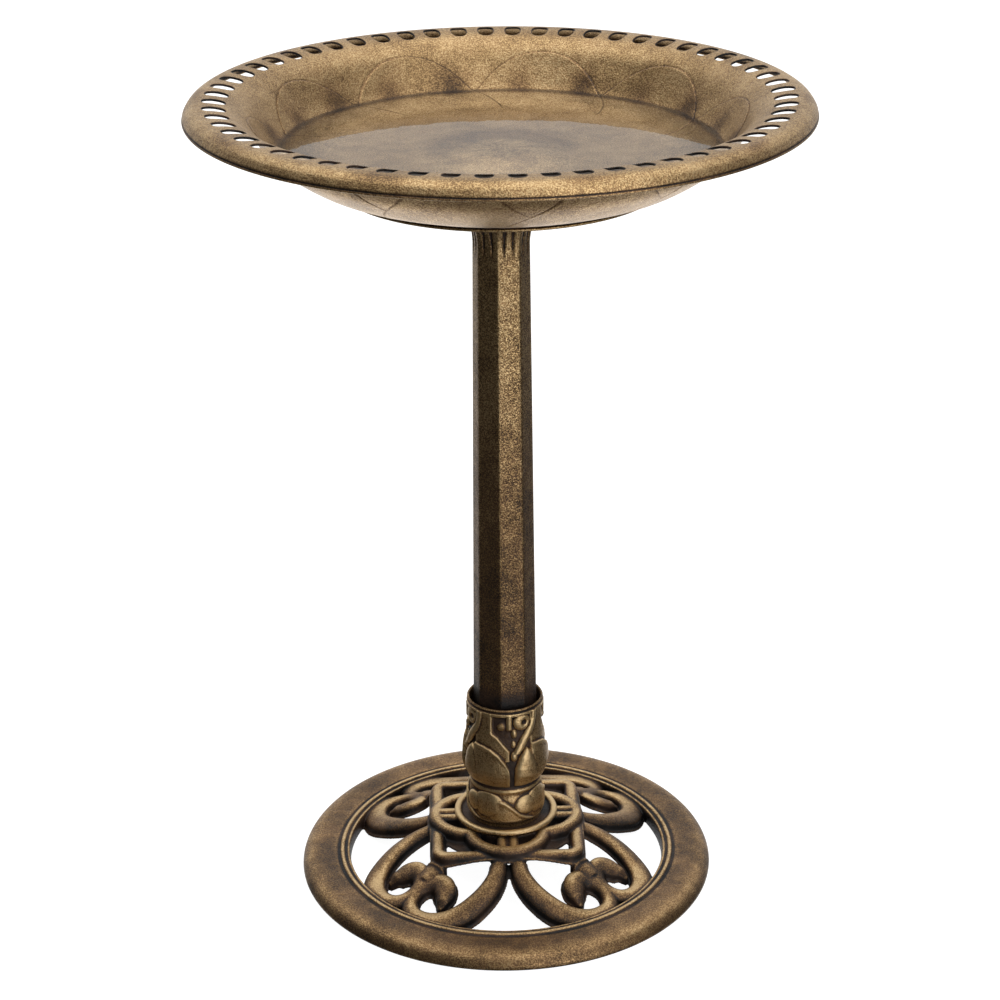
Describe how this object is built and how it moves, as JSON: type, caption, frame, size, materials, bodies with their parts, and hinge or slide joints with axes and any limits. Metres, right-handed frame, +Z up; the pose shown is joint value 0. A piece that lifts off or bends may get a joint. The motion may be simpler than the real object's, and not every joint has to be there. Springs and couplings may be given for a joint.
{
  "type": "pedestal bird bath",
  "caption": "Free-standing garden bird bath: round basin with a slotted rim on a tapered octagonal post, leaf collar and openwork scroll base; the basin lifts off.",
  "frame": {"origin": "centre of the base's footprint, on the ground", "axes": "+Z up along the post; -Y towards the front"},
  "size_m": [0.51, 0.51, 0.711],
  "materials": {
    "bronze_basin": "antique bronze paint: gold rubbed over speckled dark brown, satin",
    "bronze_post": "antique bronze paint: gold speckle over dark brown, satin",
    "bronze_leaf": "antique bronze paint: gold on the high spots, near-black in the recesses, satin",
    "black_plastic": "unpainted black moulding, fine matte grain",
    "zinc_steel": "zinc plated, slightly dull"
  },
  "bodies": {
    "stand": {"pole": "bronze_post", "top_spigot": "black_plastic", "bottom_plug": "black_plastic", "tie_rod": "zinc_steel", "rod_top_washer": "zinc_steel", "rod_top_nut": "zinc_steel", "leaf_collar": "bronze_leaf", "hub_disc": "bronze_leaf", "base": "bronze_leaf", "rod_base_washer": "zinc_steel", "rod_base_nut": "zinc_steel"},
    "basin": {"basin": "bronze_basin", "basin_socket": "black_plastic", "socket_screws": "zinc_steel"}
  },
  "joints": [
    {"name": "basin_lift", "type": "slide", "parent": "stand", "child": "basin", "axis": [0, 0, 1], "range_m": [0, 0.08]}
  ]
}
